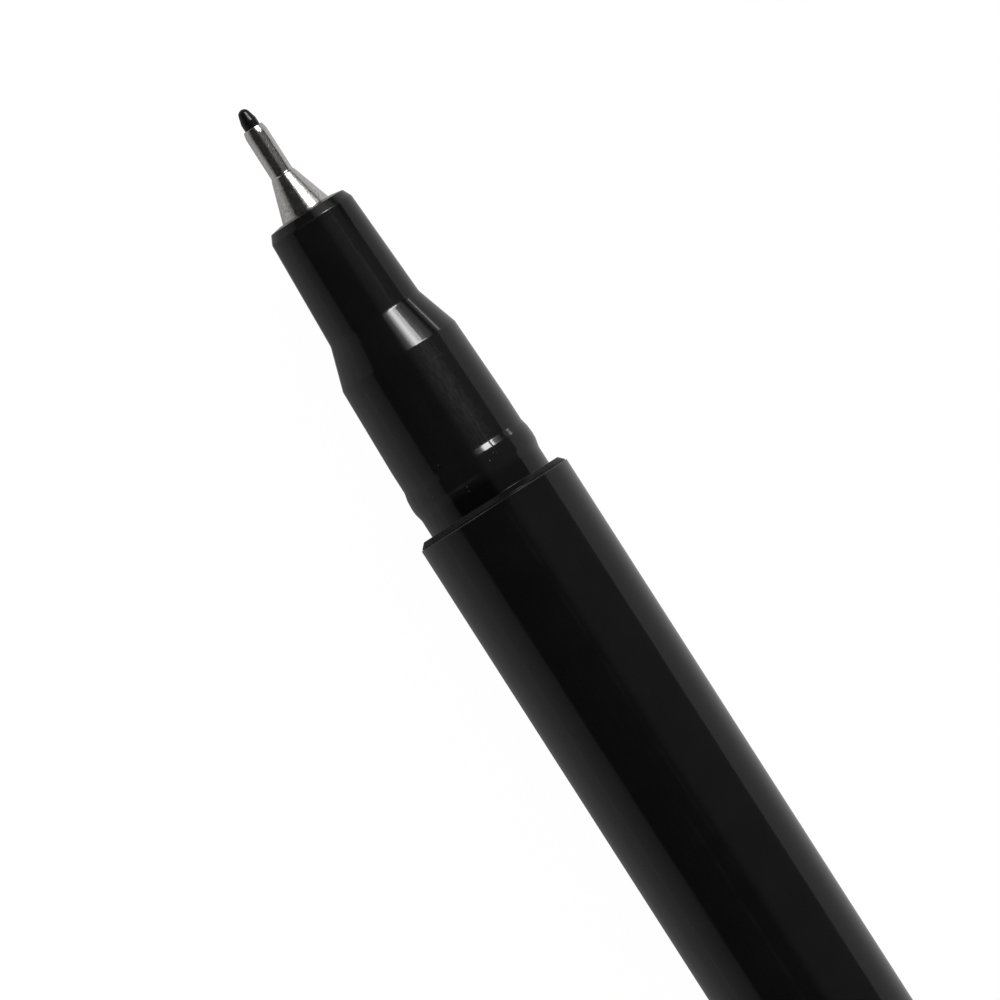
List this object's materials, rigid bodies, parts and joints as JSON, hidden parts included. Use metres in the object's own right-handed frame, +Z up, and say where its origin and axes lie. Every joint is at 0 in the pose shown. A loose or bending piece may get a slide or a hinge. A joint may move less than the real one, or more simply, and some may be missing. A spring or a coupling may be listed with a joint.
{
  "type": "fineliner pen",
  "caption": "Slim black fineliner pen with a steel-sleeved point and a stepped nose, its clip cap posted on the tail; the cap pulls off and the clip flexes.",
  "frame": {"origin": "middle of the barrel's length, on the pen's axis", "axes": "+X along the pen's axis towards the nib, +Z up as the pen lies on a table with the clip hanging low on the -Y side"},
  "size_m": [0.155, 0.0118, 0.01],
  "materials": {
    "nib_fibre": "ink-wet fibre point",
    "sleeve_steel": "bright drawn steel",
    "nose_plastic": "glossy moulded black",
    "barrel_plastic": "glossy moulded black",
    "reservoir_fibre": "ink-soaked fibre rod",
    "wrap_film": "clear film",
    "tail_plastic": "glossy moulded black",
    "cap_plastic": "glossy moulded black",
    "liner_plastic": "natural moulded liner",
    "crown_plastic": "glossy moulded black",
    "clip_steel": "brushed spring steel"
  },
  "bodies": {
    "pen": {"nib": "nib_fibre", "nib_sleeve": "sleeve_steel", "nose_section": "nose_plastic", "barrel": "barrel_plastic", "ink_reservoir": "reservoir_fibre", "reservoir_wrap": "wrap_film", "tail_plug": "tail_plastic"},
    "cap": {"cap_shell": "cap_plastic", "inner_cap": "liner_plastic", "cap_crown": "crown_plastic"},
    "clip": {"clip": "clip_steel"}
  },
  "joints": [
    {"name": "cap_pull", "type": "slide", "parent": "pen", "child": "cap", "axis": [-1, 0, 0], "range_m": [0, 0.03]},
    {"name": "clip_flex", "type": "hinge", "parent": "cap", "child": "clip", "pos_m": [-0.08195, -0.00516, -0.00257], "axis": [0, 0.4462, -0.8949], "range_deg": [0, 3.5], "stiffness_Nm_per_rad": 0.63}
  ]
}
